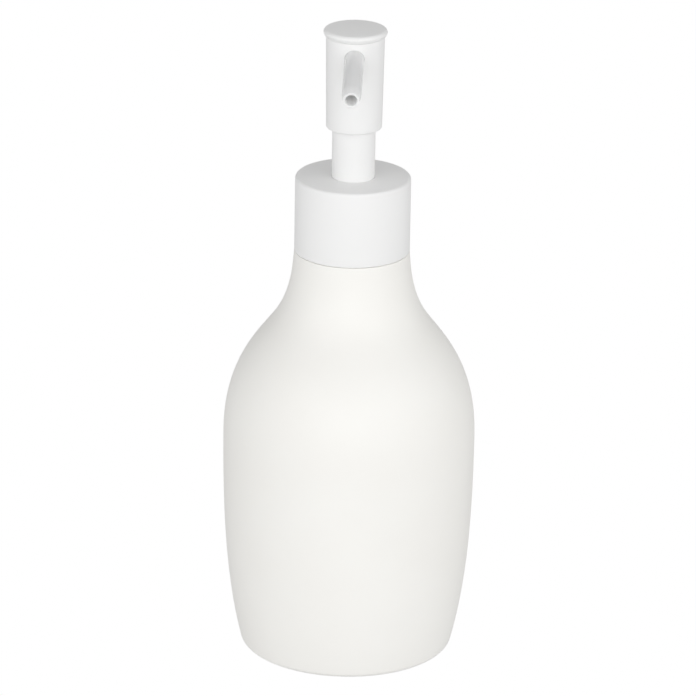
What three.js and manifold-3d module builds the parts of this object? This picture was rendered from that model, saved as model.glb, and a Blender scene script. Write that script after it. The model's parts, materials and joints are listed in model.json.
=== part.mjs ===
// Soap pump dispenser: a bottle closed by a screw-on lotion pump.
// Millimetres, +Z up. The origin is on the pump's axis, level with the ring that the bottle stands on.
// The spout points along -Y.
// Pressing the head pushes the stem, valve plug and piston down the pump chamber against the spring.
// The inlet ball shuts, the piston slips up off the valve plug, and soap rises through the stem to the spout.

import * as THREE from "three";
import { mergeVertices } from "three/addons/utils/BufferGeometryUtils.js";
import Module from "manifold-3d";

const wasm = await Module();
wasm.setup();

// ---------------------------------------------------------------- driving dimensions

// Gaps between neighbours.
const seatGap = 0.1; // faces that rest on each other
const fitGap = 0.3; // pieces pushed together and not moving
const slideGap = 0.15; // pieces that slide or turn on each other
const openGap = 0.4; // pieces that must never rub

// Bottle outline, from the base up.
const bodyRadius = 37.5;
const widestZ = 67.1;
const baseRingRadius = 29.5; // outer edge of the flat ring the bottle stands on
const baseFillet = 2.4;
const baseFlare = 0.25; // how fast the wall widens just above the base, radius per height
const wallPull = 21.1; // length of the handles that bow the wall
const shoulderPull = 19.8; // length of the handle that rounds the shoulder
const bendRadius = 23.75; // where the shoulder turns from round to hollow
const bendZ = 102.3;
const bendAngle = 0.655; // lean of the wall there, from upright
const bendPullBelow = 8.4;
const bendPullAbove = 9.4;
const collarLean = 0.073; // lean of the wall where it meets the collar, radius per height
const collarPull = 6.2;
const seatZ = 124.5; // shoulder that the collar comes down to
const bottleWall = 2;
const baseThickness = 2.6;
const baseRingWidth = 4.5;
const baseHollow = 3; // how far the middle of the base is pushed up

// Stem and sleeve that join the head to the pump. The barrel, neck and collar are built outwards from them.
const stemRadius = 3.3;
const stemBore = 1.9;
const stemInHead = 14.3;
const coreWall = 1.25; // socket in the head that holds the stem
const sleeveRoom = 0.6; // between that socket and the sleeve
const sleeveWall = 1.05;
const sleeveInCollar = 5; // how far it reaches into the collar at rest
const sleeveInHead = 8.3;

const lockRingWall = 0.85;
const lockRingFloor = 2;
const lockRingFlange = 1;
const lockRingGrip = 2; // how far its flange reaches over the closure
const barrelWall = 1.2; // pump housing, upper and lower barrel
const neckRoom = 1.8; // between the barrel and the neck's bore
const neckWall = 1.7;
const neckHeight = 15;
const threadHeight = 1.25;
const threadPitch = 4.23;
const threadTurns = 1.25;
const threadRootWidth = 2;
const threadCrestWidth = 1.1;
const threadStart = 4.2; // first turn above the shoulder
const closureWall = 1.3;
const closureWeb = 1.5;
const closureRibs = 16;
const collarWall = 1.2;
const collarTop = 2;
const gasketThickness = 1.2;
const flangeThickness = 1.5;

// Pump.
const stroke = 14;
const restClearance = 1.2; // left between head and collar when the head is right down
const chamberRadius = 5.9;
const slip = 1.2; // how far the piston slides on the stem, which opens the outlet
const wiperHeight = 2.2;
const pistonHeight = 9.3;
const pistonStep = 4.8; // height inside the piston of the shoulder under the stem
const plugRadius = 4.4;
const plugThickness = 2.5;
const springLength = 26; // fitted
const springRadius = 3.6; // to the middle of the wire
const springWire = 0.9;
const springTurns = 8;
const retainerThickness = 1.1;
const ballRadius = 2.4;
const ballLift = 1.5;
const inletRadius = 1.4;
const tailRadius = 3.9;
const socketDepth = 12;
const tubeRadius = 2.4;
const tubeBore = 1.6;
const tubeFloorGap = 3.4; // from the tube's end to the bottle's floor
const tubeReach = 9; // how far forward the tube's end bends

// Head.
const headStep = 1.85; // how far its lower end stands out from the sleeve
const headFlare = 0.4; // how much wider its upper end is
const headHeight = 27.75;
const headWall = 1.3;
const headFloor = 1.6;
const capOverhang = 0.75;
const capThickness = 2.15;
const capEdge = 0.9;
const capPlugDepth = 1.2;
const coreFlange = 1.6;
const spoutReach = 39.2; // from the pump's axis to the tip
const spoutDroop = 0.08; // radians below level
const spoutDrop = 4.1; // from the head shell's top to the spout's axis
const spoutRadius = 2.9;
const spoutTipRadius = 2.35;
const spoutBore = 1.7;
const spoutShank = 0.65; // wall of the spout's hidden end

const round = 36; // sides of a large round piece
const small = 24; // sides of a small one

// ---------------------------------------------------------------- places that follow

const coreRadius = stemRadius + slideGap + coreWall;
const sleeveRadius = coreRadius + sleeveRoom + sleeveWall;
const lockRingInner = sleeveRadius + openGap;
const lockRingRadius = lockRingInner + lockRingWall;
const barrelBore = lockRingRadius + fitGap;
const barrelRadius = barrelBore + barrelWall;
const neckBore = barrelRadius + neckRoom;
const neckRadius = neckBore + neckWall;
const threadRadius = neckRadius + threadHeight;
const closureBore = threadRadius + openGap - 0.05;
const closureRadius = closureBore + closureWall;
const collarBore = closureRadius + openGap - 0.05;
const collarRadius = collarBore + collarWall;

const neckTopZ = seatZ + neckHeight;
const gasketZ = neckTopZ + seatGap;
const flangeZ = gasketZ + gasketThickness + seatGap;
const webZ = flangeZ + flangeThickness + seatGap;
const lockFlangeZ = webZ + closureWeb + seatGap;
const collarCeilingZ = lockFlangeZ + lockRingFlange + fitGap;
const collarTopZ = collarCeilingZ + collarTop;
const collarZ = seatZ + fitGap;

const headRadiusLow = sleeveRadius + headStep;
const headRadiusHigh = headRadiusLow + headFlare;
const capRadius = headRadiusHigh + capOverhang;
const headZ = collarTopZ + restClearance + stroke;
const sleeveZ = collarTopZ - sleeveInCollar;
const sleeveTopZ = headZ + sleeveInHead;
const lockFloorZ = sleeveZ - stroke - 0.5 - lockRingFloor;
const wiperRoom = wiperHeight + fitGap;
const bossZ = lockFloorZ - wiperRoom;
const barrelStepZ = lockFloorZ - fitGap;
const pistonTopZ = bossZ - slip - fitGap;
const pistonZ = pistonTopZ - pistonHeight;
const stemZ = pistonZ + pistonStep + slip + 0.2;
const plugZ = pistonZ - seatGap - plugThickness;
const springZ = plugZ - seatGap - springLength;
const retainerZ = springZ - seatGap - retainerThickness;
const ballBoreRadius = ballRadius + openGap;
const ballZ = retainerZ - 0.2 - ballLift - ballRadius;
const ledgeZ = retainerZ - seatGap;
const coneApexZ = ballZ - (ballRadius + seatGap) * Math.SQRT2; // a 45 degree seat touches the ball
const inletZ = coneApexZ + inletRadius;
const coneTopZ = coneApexZ + ballBoreRadius;
const inletWeb = 1;
const socketZ = inletZ - inletWeb;
const tubeTopZ = socketZ - seatGap;
const tailZ = socketZ - socketDepth;
const bottleFloorZ = baseHollow + baseThickness;
const tubeEndZ = bottleFloorZ + tubeFloorGap;

const headTopZ = headZ + headHeight;
const capZ = headTopZ + seatGap;
const stemTopZ = headZ + stemInHead;
const spoutZ = headTopZ - spoutDrop; // where the spout's axis meets the pump's
const coreFlangeZ = sleeveTopZ + fitGap;
const drumRadius = headRadiusHigh - headWall - 1.5;
const drumTopZ = spoutZ + spoutTipRadius + 0.65;
const drumZ = spoutZ - spoutTipRadius - 1.65;

// ---------------------------------------------------------------- shapes

// Revolves an outline of [radius, height] points, counter-clockwise, round +Z.
function revolve(points, sides = small) {
  const outline = points.map(([r, z]) => new THREE.Vector2(r, z));
  const onAxis = outline[0].x === 0 && outline.at(-1).x === 0;
  if (!onAxis) outline.push(outline[0].clone());
  return new THREE.LatheGeometry(outline, sides).rotateX(Math.PI / 2);
}

// A plain ring, or a disc where the inner radius is 0.
function ring(inner, outer, low, high, sides = small) {
  return revolve([[inner, low], [outer, low], [outer, high], [inner, high]], sides);
}

// A closed geometry as a manifold-3d solid, for cutting and joining.
function solid(geometry) {
  const bare = new THREE.BufferGeometry();
  bare.setAttribute("position", geometry.getAttribute("position"));
  bare.setIndex(geometry.index);
  const merged = mergeVertices(bare, 1e-4);
  const index = merged.index.array;
  const triangles = [];
  for (let i = 0; i < index.length; i += 3) {
    const [a, b, c] = index.slice(i, i + 3);
    if (a !== b && b !== c && a !== c) triangles.push(a, b, c);
  }
  const mesh = new wasm.Mesh({
    numProp: 3,
    vertProperties: merged.attributes.position.array,
    triVerts: new Uint32Array(triangles),
  });
  return new wasm.Manifold(mesh);
}

// The other way: a manifold-3d solid as a geometry.
function geometryOf(made) {
  const mesh = made.getMesh();
  const geometry = new THREE.BufferGeometry();
  geometry.setAttribute("position", new THREE.BufferAttribute(mesh.vertProperties, 3));
  geometry.setIndex(new THREE.BufferAttribute(mesh.triVerts, 1));
  geometry.computeVertexNormals();
  return geometry;
}

function cut(geometry, ...tools) {
  return geometryOf(tools.reduce((left, tool) => left.subtract(solid(tool)), solid(geometry)));
}

function join(geometry, ...others) {
  return geometryOf(others.reduce((sum, other) => sum.add(solid(other)), solid(geometry)));
}

// A right-hand thread. Its section is extruded straight, one unit of depth to a turn, and then
// wrapped round +Z.
// The ridge stands "out" from the wall (1) or inwards from it (-1), and dies away at both ends.
function threadRidge(wallRadius, out, startZ) {
  const sunk = -0.3;
  const stepsPerTurn = 24;
  const fadeTurns = 0.12;
  const rootHalf = threadRootWidth / 2;
  const crestHalf = threadCrestWidth / 2;
  const section = new THREE.Shape([
    new THREE.Vector2(sunk, -rootHalf),
    new THREE.Vector2(0, -rootHalf),
    new THREE.Vector2(threadHeight, -crestHalf),
    new THREE.Vector2(threadHeight, crestHalf),
    new THREE.Vector2(0, rootHalf),
    new THREE.Vector2(sunk, rootHalf),
  ]);
  const steps = Math.round(threadTurns * stepsPerTurn);
  const ridge = new THREE.ExtrudeGeometry(section, { depth: threadTurns, steps, bevelEnabled: false });
  const position = ridge.getAttribute("position");
  for (let i = 0; i < position.count; i++) {
    const turn = out > 0 ? threadTurns - position.getZ(i) : position.getZ(i);
    const fade = Math.min(1, turn / fadeTurns, (threadTurns - turn) / fadeTurns);
    const rise = position.getX(i);
    const height = rise > 0 ? rise * fade - 0.1 * (1 - fade) : rise;
    const radius = wallRadius + out * height;
    const angle = turn * 2 * Math.PI;
    const z = startZ + turn * threadPitch + position.getY(i);
    position.setXYZ(i, radius * Math.cos(angle), radius * Math.sin(angle), z);
  }
  return ridge;
}

// A plus-shaped bar standing on end.
function plusBar(reach, thickness, low, high) {
  const half = thickness / 2;
  const corners = [];
  for (let quarter = 0; quarter < 4; quarter++) {
    const turn = (quarter * Math.PI) / 2;
    for (const [x, y] of [[half, -half], [reach, -half], [reach, half]]) {
      const corner = new THREE.Vector2(x, y);
      corners.push(corner.rotateAround(new THREE.Vector2(), turn));
    }
  }
  const bar = new THREE.ExtrudeGeometry(new THREE.Shape(corners), { depth: high - low, bevelEnabled: false });
  return bar.translate(0, 0, low);
}

// A straight cylinder along the spout's axis, from one distance from the pump's axis to another.
function alongSpout(radius, from, to) {
  const bar = new THREE.CylinderGeometry(radius, radius, to - from, small);
  return bar.translate(0, -(from + to) / 2, 0).rotateX(spoutDroop).translate(0, 0, spoutZ);
}

// ---------------------------------------------------------------- bottle

// The outside of the bottle, from the base ring up to the shoulder, as a path of radius and height.
function bottleOutline() {
  const lean = Math.atan(baseFlare);
  const filletZ = baseFillet;
  const wallX = baseRingRadius + baseFillet * Math.cos(lean);
  const wallZ = filletZ - baseFillet * Math.sin(lean);
  const across = Math.sin(bendAngle);
  const along = Math.cos(bendAngle);
  const path = new THREE.Path();
  path.moveTo(baseRingRadius, 0);
  path.absarc(baseRingRadius, filletZ, baseFillet, -Math.PI / 2, -lean, false);
  path.bezierCurveTo(
    wallX + wallPull * Math.sin(lean), wallZ + wallPull * Math.cos(lean),
    bodyRadius, widestZ - wallPull,
    bodyRadius, widestZ,
  );
  path.bezierCurveTo(
    bodyRadius, widestZ + shoulderPull,
    bendRadius + across * bendPullBelow, bendZ - along * bendPullBelow,
    bendRadius, bendZ,
  );
  path.bezierCurveTo(
    bendRadius - across * bendPullAbove, bendZ + along * bendPullAbove,
    collarRadius + collarLean * collarPull, seatZ - collarPull,
    collarRadius, seatZ,
  );
  return path.getPoints(5);
}

// The same outline moved inwards by the wall, kept above the floor and below the neck.
function insideOf(outline) {
  const inside = [];
  outline.forEach((point, i) => {
    const before = outline[Math.max(i - 1, 0)];
    const after = outline[Math.min(i + 1, outline.length - 1)];
    const run = after.clone().sub(before).normalize();
    const moved = new THREE.Vector2(point.x - run.y * bottleWall, point.y + run.x * bottleWall);
    const neckLimit = seatZ - 2 * bottleWall;
    if (moved.y > bottleFloorZ + bottleWall && moved.y < neckLimit) inside.push([moved.x, moved.y]);
  });
  return inside;
}

function bottle() {
  const outline = bottleOutline();
  const inside = insideOf(outline);
  const lowest = inside[0];
  const ringInner = baseRingRadius - baseRingWidth;
  const lipChamfer = 0.4;
  const shell = revolve([
    [0, baseHollow],
    [ringInner / 2, baseHollow * 0.9],
    [ringInner - 2, baseHollow * 0.4],
    [ringInner, 0],
    ...outline.map((point) => [point.x, point.y]),
    [neckRadius, seatZ],
    [neckRadius, neckTopZ - lipChamfer],
    [neckRadius - lipChamfer, neckTopZ],
    [neckBore, neckTopZ],
    [neckBore, seatZ - bottleWall],
    ...inside.reverse(),
    [lowest[0] - bottleWall, bottleFloorZ],
    [0, bottleFloorZ],
  ], round);
  return join(shell, threadRidge(neckRadius, 1, seatZ + threadStart));
}

// ---------------------------------------------------------------- collar

function collarShell() {
  const edge = 0.35;
  return revolve([
    [collarBore, collarZ],
    [collarRadius - edge, collarZ],
    [collarRadius, collarZ + edge],
    [collarRadius, collarTopZ - edge],
    [collarRadius - edge, collarTopZ],
    [sleeveRadius + openGap, collarTopZ],
    [sleeveRadius + openGap, collarCeilingZ],
    [collarBore, collarCeilingZ],
  ], round);
}

// The ring that screws to the neck. Its web is held between the flanges of the housing and the lock ring,
// and the ribs grip the collar shell.
function threadedClosure() {
  const lowZ = seatZ + 2 * openGap;
  const topZ = webZ + closureWeb;
  const ribDepth = 0.35;
  const ribWidth = 1.2;
  const body = closureRadius - ribDepth;
  const shell = revolve([
    [closureBore, lowZ],
    [body, lowZ],
    [body, topZ],
    [lockRingRadius + fitGap, topZ],
    [lockRingRadius + fitGap, webZ],
    [closureBore, webZ],
  ], round);
  // The ridge lies just under the neck's, in the gap between its turns.
  const overlap = threadHeight - (closureBore - threadRadius);
  const flank = (threadRootWidth - threadCrestWidth) / 2 / threadHeight;
  const spacing = (threadRootWidth + threadCrestWidth) / 2 + flank * (threadHeight - overlap) + fitGap;
  const ridge = threadRidge(closureBore, -1, seatZ + threadStart - spacing);
  const ribs = [];
  for (let i = 0; i < closureRibs; i++) {
    const rib = new THREE.BoxGeometry(2 * ribDepth, ribWidth, topZ - lowZ - 2);
    rib.translate(body, 0, (topZ + lowZ) / 2);
    ribs.push(rib.rotateZ((i * 2 * Math.PI) / closureRibs));
  }
  return join(shell, ridge, ...ribs);
}

function neckGasket() {
  return ring(barrelRadius + fitGap, neckRadius, gasketZ, gasketZ + gasketThickness);
}

// ---------------------------------------------------------------- pump

// The pump's cylinder: a wide barrel for the sleeve, the chamber, the ball's seat and the dip tube's socket.
function pumpHousing() {
  const lower = chamberRadius + barrelWall;
  const taper = barrelRadius - lower;
  const body = revolve([
    [tubeRadius + seatGap, tailZ],
    [tailRadius, tailZ],
    [tailRadius, inletZ],
    [lower, ledgeZ - barrelWall],
    [lower, barrelStepZ - barrelWall - taper],
    [barrelRadius, barrelStepZ - barrelWall],
    [barrelRadius, flangeZ],
    [neckRadius, flangeZ],
    [neckRadius, flangeZ + flangeThickness],
    [barrelBore, flangeZ + flangeThickness],
    [barrelBore, barrelStepZ],
    [chamberRadius, barrelStepZ],
    [chamberRadius, ledgeZ],
    [ballBoreRadius, ledgeZ],
    [ballBoreRadius, coneTopZ],
    [inletRadius, inletZ],
    [inletRadius, socketZ],
    [tubeRadius + seatGap, socketZ],
  ]);
  const ventRadius = 0.6;
  const vent = new THREE.CylinderGeometry(ventRadius, ventRadius, 2 * barrelRadius, 12);
  vent.translate(0, barrelRadius, 0).translate(0, 0, (barrelStepZ + flangeZ) / 2);
  return cut(body, vent);
}

// A cup that plugs the housing, guides the stem and lets the sleeve run down inside it.
function lockRing() {
  const bossRadius = chamberRadius - fitGap;
  const pocket = stemRadius + slideGap + 1.15;
  const floorTop = lockFloorZ + lockRingFloor;
  const flangeRadius = lockRingRadius + lockRingGrip;
  const flangeTop = lockFlangeZ + lockRingFlange;
  return revolve([
    [pocket, bossZ],
    [bossRadius, bossZ],
    [bossRadius, lockFloorZ],
    [lockRingRadius, lockFloorZ],
    [lockRingRadius, lockFlangeZ],
    [flangeRadius, lockFlangeZ],
    [flangeRadius, flangeTop],
    [lockRingInner, flangeTop],
    [lockRingInner, floorTop],
    [stemRadius + openGap, floorTop],
    [stemRadius + openGap, lockFloorZ],
    [pocket, lockFloorZ],
  ]);
}

// A soft ring with a lip, which wipes the stem.
function stemWiper() {
  const inner = stemRadius + slideGap;
  const outer = inner + 1;
  const low = lockFloorZ - seatGap - wiperHeight;
  const lip = 0.35;
  return revolve([
    [inner, low],
    [inner + lip, low],
    [inner + 2 * lip, low + 2 * lip],
    [outer, low + 2 * lip],
    [outer, low + wiperHeight],
    [inner + lip, low + wiperHeight],
    [inner + lip, low + 3 * lip],
    [inner, low + lip],
  ]);
}

function pistonStem() {
  return ring(stemBore, stemRadius, stemZ, stemTopZ);
}

// A plus-shaped shank fixed in the stem, on a cone that shuts the piston's bore.
function valvePlug() {
  const shankThickness = 1.2;
  const shank = Math.sqrt((stemBore - slideGap) ** 2 - (shankThickness / 2) ** 2);
  const coneHeight = 0.9;
  const topZ = plugZ + plugThickness;
  const neck = stemBore + 0.1;
  const guide = springRadius - springWire - 0.5;
  const head = revolve([
    [0, plugZ - 3],
    [guide, plugZ - 3],
    [guide, plugZ],
    [plugRadius, plugZ],
    [plugRadius, topZ - coneHeight],
    [neck, topZ],
    [0, topZ],
  ]);
  return join(head, plusBar(shank, shankThickness, plugZ + 1, stemZ + 6));
}

// A sleeve with a flared sealing lip at each end, which slides on the stem and in the chamber.
function piston() {
  const seal = chamberRadius - slideGap;
  const waist = stemRadius + slideGap + 0.85;
  const flare = 1.6;
  const passage = stemBore + 0.8;
  const stepZ = pistonZ + pistonStep;
  const lipWall = 0.5;
  return revolve([
    [passage, pistonZ + flare],
    [waist - 0.2, pistonZ + 0.3],
    [seal - lipWall, pistonZ + 0.3],
    [seal, pistonZ + 0.3],
    [seal, pistonZ + 0.9],
    [waist, pistonZ + flare + 1],
    [waist, pistonTopZ - flare - 1],
    [seal, pistonTopZ - 0.6],
    [seal, pistonTopZ],
    [seal - lipWall, pistonTopZ],
    [waist - 0.2, pistonTopZ - flare],
    [stemRadius + slideGap, pistonTopZ - flare],
    [stemRadius + slideGap, stepZ],
    [passage, stepZ],
  ]);
}

// A closed-end coil spring, standing on the ball retainer.
class Coil extends THREE.Curve {
  getPoint(t, target = new THREE.Vector3()) {
    const wireGap = springWire + 0.05; // end turns lie closed
    const turn = t * springTurns;
    const open = springTurns - 2;
    const openPitch = (springLength - springWire - 2 * wireGap) / open;
    const rise = turn < 1 ? turn * wireGap : wireGap + Math.min(turn - 1, open) * openPitch;
    const last = Math.max(0, turn - 1 - open) * wireGap;
    const angle = turn * 2 * Math.PI;
    const z = springZ + springWire / 2 + rise + last;
    return target.set(springRadius * Math.cos(angle), springRadius * Math.sin(angle), z);
  }
}

function returnSpring() {
  const wire = new THREE.Shape().absarc(0, 0, springWire / 2, 0, 2 * Math.PI, false);
  return new THREE.ExtrudeGeometry(wire, {
    extrudePath: new Coil(),
    steps: springTurns * 12,
    curveSegments: 4,
    bevelEnabled: false,
  });
}

// A washer that carries the spring. Its plus-shaped hole holds the ball in and lets soap round it.
function ballRetainer() {
  const disc = ring(0, chamberRadius - fitGap, retainerZ, retainerZ + retainerThickness);
  return cut(disc, plusBar(springRadius - springWire, 1.6, retainerZ - 1, retainerZ + 2 * retainerThickness));
}

function inletBall() {
  return new THREE.SphereGeometry(ballRadius, 20, 12).rotateX(Math.PI / 2).translate(0, 0, ballZ);
}

// A hose that bends forward to the bottle's edge, cut slantwise at its end.
function dipTube() {
  const wall = new THREE.Shape().absarc(0, 0, tubeRadius, 0, 2 * Math.PI, false);
  wall.holes.push(new THREE.Path().absarc(0, 0, tubeBore, 0, 2 * Math.PI, true));
  const straight = new THREE.Vector3(0, 0, tailZ);
  const path = new THREE.CurvePath();
  path.add(new THREE.LineCurve3(new THREE.Vector3(0, 0, tubeTopZ), straight));
  path.add(new THREE.CubicBezierCurve3(
    straight,
    new THREE.Vector3(0, 0, tailZ * 0.6 + tubeEndZ * 0.4),
    new THREE.Vector3(0, -tubeReach * 0.6, tailZ * 0.3 + tubeEndZ * 0.7),
    new THREE.Vector3(0, -tubeReach, tubeEndZ),
  ));
  const tube = new THREE.ExtrudeGeometry(wall, {
    extrudePath: path,
    steps: 14,
    curveSegments: 5,
    bevelEnabled: false,
  });
  const slant = new THREE.BoxGeometry(20, 20, 6);
  slant.translate(0, 0, -3).rotateX(-0.6).translate(0, -tubeReach, tubeEndZ + 1.6);
  return cut(tube, slant);
}

// ---------------------------------------------------------------- head

function stemSleeve() {
  const edge = 0.3;
  return revolve([
    [sleeveRadius - sleeveWall, sleeveZ],
    [sleeveRadius - edge, sleeveZ],
    [sleeveRadius, sleeveZ + edge],
    [sleeveRadius, sleeveTopZ],
    [sleeveRadius - sleeveWall, sleeveTopZ],
  ]);
}

// The head's inner piece: a socket for the stem, a flange inside the shell, and a drum that holds the
// spout's shank.
function actuatorCore() {
  const socket = stemRadius + slideGap;
  const flangeRadius = headRadiusLow - headWall - slideGap;
  const socketLowZ = headZ + 2.8;
  const body = revolve([
    [0, drumTopZ - coreWall],
    [stemBore, drumTopZ - coreWall],
    [stemBore, stemTopZ + seatGap],
    [socket, stemTopZ + seatGap],
    [socket, socketLowZ],
    [coreRadius, socketLowZ],
    [coreRadius, coreFlangeZ],
    [flangeRadius, coreFlangeZ],
    [flangeRadius, coreFlangeZ + coreFlange],
    [coreRadius, coreFlangeZ + coreFlange],
    [coreRadius, drumZ - (drumRadius - coreRadius)],
    [drumRadius, drumZ],
    [drumRadius, drumTopZ],
    [0, drumTopZ],
  ]);
  return cut(body, alongSpout(spoutBore + spoutShank + seatGap, 0.5, drumRadius + 1));
}

// The outer shell of the head, which narrows downwards, with a round hole for the spout.
function headShell() {
  const floorZ = headZ + headFloor;
  const edge = 0.25;
  const shell = revolve([
    [sleeveRadius + slideGap, headZ],
    [headRadiusLow - edge, headZ],
    [headRadiusLow, headZ + edge],
    [headRadiusHigh, headTopZ],
    [headRadiusHigh - headWall, headTopZ],
    [headRadiusLow - headWall, floorZ],
    [sleeveRadius + slideGap, floorZ],
  ], round);
  return cut(shell, alongSpout(spoutRadius + slideGap, drumRadius, 2 * headRadiusHigh));
}

// The disc that is pressed. It overhangs the shell, and a ring under it plugs the shell's open top.
function headCap() {
  const plugOuter = headRadiusHigh - headWall - fitGap;
  const plugInner = plugOuter - 0.9;
  const topZ = capZ + capThickness;
  const edge = [];
  for (const step of [0, 1, 2, 3]) {
    const angle = (step / 3) * (Math.PI / 2);
    const r = capRadius - capEdge + capEdge * Math.cos(angle);
    edge.push([r, topZ - capEdge + capEdge * Math.sin(angle)]);
  }
  return revolve([
    [0, capZ],
    [plugInner, capZ],
    [plugInner, capZ - capPlugDepth],
    [plugOuter, capZ - capPlugDepth],
    [plugOuter, capZ],
    [capRadius - 0.3, capZ],
    [capRadius, capZ + 0.3],
    ...edge,
    [0, topZ],
  ], round);
}

// A tapered tube, made along +Z and laid down along the spout's axis.
function spout() {
  const shank = spoutBore + spoutShank;
  const shankEnd = drumRadius + fitGap + spoutRadius * Math.tan(spoutDroop);
  const start = stemBore + fitGap;
  const taper = spoutReach * 0.7;
  const lip = 0.25;
  const tube = revolve([
    [spoutBore, start],
    [shank, start],
    [shank, shankEnd],
    [spoutRadius, shankEnd],
    [spoutRadius - 0.1, taper],
    [spoutTipRadius, spoutReach - lip],
    [spoutTipRadius - lip, spoutReach],
    [spoutBore, spoutReach],
  ]);
  return tube.rotateX(Math.PI / 2);
}

// ---------------------------------------------------------------- assembly

function plastic(color, roughness) {
  return new THREE.MeshStandardMaterial({ color, roughness, metalness: 0 });
}

const bottleWhite = plastic(0xf4f3ee, 0.55);
const pumpWhite = plastic(0xf2f2f1, 0.35);
const naturalPlastic = plastic(0xe4e6e2, 0.4);
const softPlastic = plastic(0xdfe3e6, 0.6);
const rubberGrey = plastic(0xb9bab8, 0.8);
const clearTube = plastic(0xdde5e4, 0.3);
const steel = new THREE.MeshStandardMaterial({ color: 0xb8bbc0, roughness: 0.25, metalness: 1 });

function piece(name, geometry, material) {
  const mesh = new THREE.Mesh(geometry, material);
  mesh.name = name;
  return mesh;
}

// The spout hangs in a group of its own, turned down by its droop.
const spoutGroup = new THREE.Group();
spoutGroup.position.set(0, 0, spoutZ);
spoutGroup.rotation.x = spoutDroop;
spoutGroup.add(piece("spout", spout(), pumpWhite));

const head = new THREE.Group();
head.add(
  piece("head_cap", headCap(), pumpWhite),
  piece("head_shell", headShell(), pumpWhite),
  piece("actuator_core", actuatorCore(), naturalPlastic),
  piece("stem_sleeve", stemSleeve(), pumpWhite),
  spoutGroup,
);

const plunger = new THREE.Group();
plunger.add(
  piece("piston_stem", pistonStem(), naturalPlastic),
  piece("valve_plug", valvePlug(), naturalPlastic),
  piece("piston", piston(), softPlastic),
);

const pump = new THREE.Group();
pump.add(
  piece("pump_housing", pumpHousing(), naturalPlastic),
  piece("lock_ring", lockRing(), pumpWhite),
  piece("stem_wiper", stemWiper(), softPlastic),
  piece("return_spring", returnSpring(), steel),
  piece("ball_retainer", ballRetainer(), naturalPlastic),
  piece("inlet_ball", inletBall(), steel),
  piece("dip_tube", dipTube(), clearTube),
  piece("neck_gasket", neckGasket(), rubberGrey),
);

const collar = new THREE.Group();
collar.add(
  piece("collar_shell", collarShell(), pumpWhite),
  piece("threaded_closure", threadedClosure(), pumpWhite),
);

const dispenser = new THREE.Group();
dispenser.add(piece("bottle", bottle(), bottleWhite), collar, pump, plunger, head);

export default dispenser;
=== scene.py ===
"""A white soap dispenser with a long-spout pump: fine meshes, materials, light and camera."""

import json
import math

import bmesh
import bpy
from mathutils import Matrix, Vector

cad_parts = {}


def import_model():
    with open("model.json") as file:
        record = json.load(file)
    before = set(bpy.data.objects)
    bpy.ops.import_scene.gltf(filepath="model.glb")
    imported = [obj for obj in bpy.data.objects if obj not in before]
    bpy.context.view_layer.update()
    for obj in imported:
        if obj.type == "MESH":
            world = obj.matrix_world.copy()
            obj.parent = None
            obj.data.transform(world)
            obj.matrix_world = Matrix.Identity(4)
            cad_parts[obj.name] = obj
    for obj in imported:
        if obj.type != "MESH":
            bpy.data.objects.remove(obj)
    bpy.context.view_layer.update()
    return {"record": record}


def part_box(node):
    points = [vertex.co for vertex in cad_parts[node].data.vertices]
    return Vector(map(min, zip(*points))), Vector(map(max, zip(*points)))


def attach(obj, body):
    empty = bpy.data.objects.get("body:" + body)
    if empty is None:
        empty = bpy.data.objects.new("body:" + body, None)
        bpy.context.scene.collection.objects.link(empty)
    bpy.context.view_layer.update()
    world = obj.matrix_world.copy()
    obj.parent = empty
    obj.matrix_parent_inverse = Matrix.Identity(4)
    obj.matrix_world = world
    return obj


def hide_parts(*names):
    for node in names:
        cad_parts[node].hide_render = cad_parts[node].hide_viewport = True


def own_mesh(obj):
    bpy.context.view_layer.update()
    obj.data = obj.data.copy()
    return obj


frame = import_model()

MM = 0.001

# ---------------------------------------------------------------- sizes, in millimetres
# Heights and outer radii come from the frame's boxes. These are the sizes that a box doesn't give.

SIDES = 144
MEDIUM_SIDES = 96
SMALL_SIDES = 64
SHARP_ANGLE = math.radians(35)

WIDEST_Z = 67.1
BASE_RING_RADIUS = 29.5
BASE_RING_WIDTH = 4.5
BASE_HOLLOW = 3.0
BASE_FILLET = 2.4
BASE_FLARE = 0.25
BASE_THICKNESS = 2.6
WALL_PULL = 21.1
SHOULDER_PULL = 19.8
BEND_RADIUS = 23.75
BEND_Z = 102.3
BEND_ANGLE = 0.655
BEND_PULL_BELOW = 8.4
BEND_PULL_ABOVE = 9.4
COLLAR_LEAN = 0.073
COLLAR_PULL = 6.2
BOTTLE_WALL = 2.0
NECK_HEIGHT = 15.0
NECK_WALL = 1.7

THREAD_HEIGHT = 1.25
THREAD_PITCH = 4.23
THREAD_TURNS = 1.25
THREAD_ROOT = 2.0
THREAD_CREST = 1.1
THREAD_START = 4.2
THREAD_FADE = 0.12

OPEN_GAP = 0.4
FIT_GAP = 0.3
SLIDE_GAP = 0.15
SEAT_GAP = 0.1
SLEEVE_GAP = 0.05
TRIM_GAP = 0.03

COLLAR_WALL = 1.2
COLLAR_TOP = 2.0
CLOSURE_WALL = 1.3
CLOSURE_WEB = 1.5
CLOSURE_RIBS = 16
RIB_DEPTH = 0.35
SLEEVE_WALL = 1.05
LOCK_WALL = 0.85
LOCK_FLOOR = 2.0
LOCK_FLANGE = 1.0
LOCK_LIP = 2.0
LOCK_BOSS = 2.5
BARREL_WALL = 1.2
BARREL_CLEARANCE = 1.8
FLANGE = 1.5
STEM_BORE = 1.9
SPRING_WIRE = 0.9
SPRING_TURNS = 8
TUBE_RADIUS = 2.4
TUBE_BORE = 1.6
TUBE_REACH = 9.0
TUBE_END = 9.0

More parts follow.
